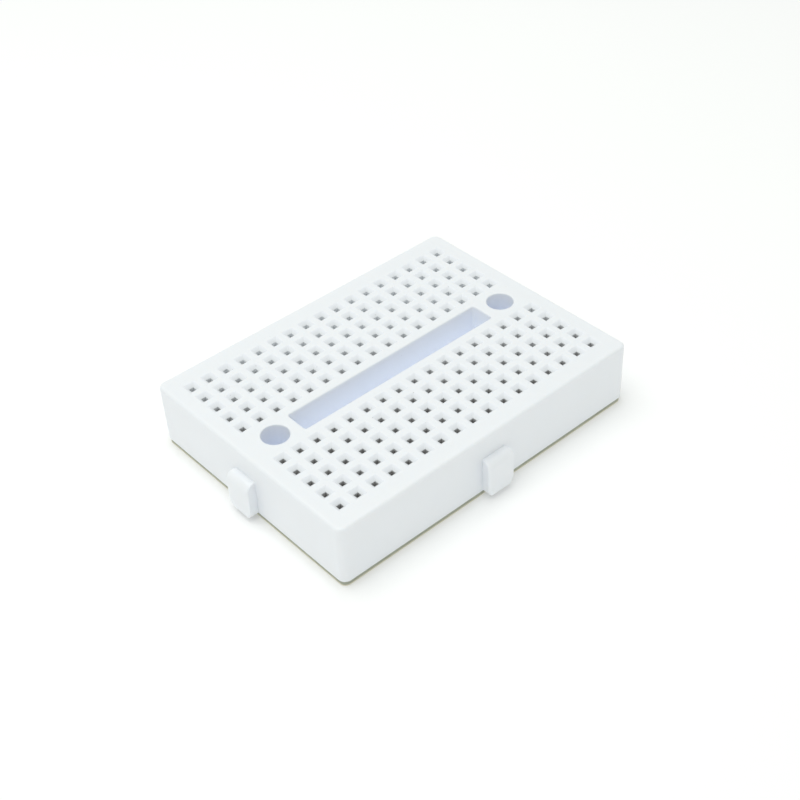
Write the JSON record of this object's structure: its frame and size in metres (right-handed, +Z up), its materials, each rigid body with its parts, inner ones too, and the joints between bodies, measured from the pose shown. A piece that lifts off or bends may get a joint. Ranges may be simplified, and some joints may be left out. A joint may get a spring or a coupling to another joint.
{
  "type": "solderless breadboard",
  "caption": "Small solderless breadboard with two banks of square tie points, a centre channel, screw holes, dovetail tabs, spring clips inside and a peel-off adhesive base.",
  "frame": {"origin": "middle of the housing's footprint, on the release liner's underside, which the board stands on", "axes": "+X along the long side, from the side with a dovetail tab towards the side with a slot; +Y from the front side with a tab towards the back side with a slot; +Z up out of the top face"},
  "size_m": [0.048, 0.0362, 0.009],
  "materials": {
    "abs_white": "fine satin, as moulded",
    "contact_metal": "nickel-plated phosphor bronze strip",
    "foam": "closed-cell foam, double-sided adhesive",
    "liner_paper": "glazed release paper"
  },
  "bodies": {
    "board": {"housing": "abs_white", "foam_tape": "foam", "contact_clip_back_01": "contact_metal", "contact_clip_back_02": "contact_metal", "contact_clip_back_03": "contact_metal", "contact_clip_back_04": "contact_metal", "contact_clip_back_05": "contact_metal", "contact_clip_back_06": "contact_metal", "contact_clip_back_07": "contact_metal", "contact_clip_back_08": "contact_metal", "contact_clip_back_09": "contact_metal", "contact_clip_back_10": "contact_metal", "contact_clip_back_11": "contact_metal", "contact_clip_back_12": "contact_metal", "contact_clip_back_13": "contact_metal", "contact_clip_back_14": "contact_metal", "contact_clip_back_15": "contact_metal", "contact_clip_back_16": "contact_metal", "contact_clip_back_17": "contact_metal", "contact_clip_front_01": "contact_metal", "contact_clip_front_02": "contact_metal", "contact_clip_front_03": "contact_metal", "contact_clip_front_04": "contact_metal", "contact_clip_front_05": "contact_metal", "contact_clip_front_06": "contact_metal", "contact_clip_front_07": "contact_metal", "contact_clip_front_08": "contact_metal", "contact_clip_front_09": "contact_metal", "contact_clip_front_10": "contact_metal", "contact_clip_front_11": "contact_metal", "contact_clip_front_12": "contact_metal", "contact_clip_front_13": "contact_metal", "contact_clip_front_14": "contact_metal", "contact_clip_front_15": "contact_metal", "contact_clip_front_16": "contact_metal", "contact_clip_front_17": "contact_metal"},
    "liner": {"release_liner": "liner_paper"}
  },
  "joints": [
    {"name": "liner_peel", "type": "hinge", "parent": "board", "child": "liner", "pos_m": [0, -0.0173, 0.00015], "axis": [-1, 0, 0], "range_deg": [0, 180]}
  ]
}
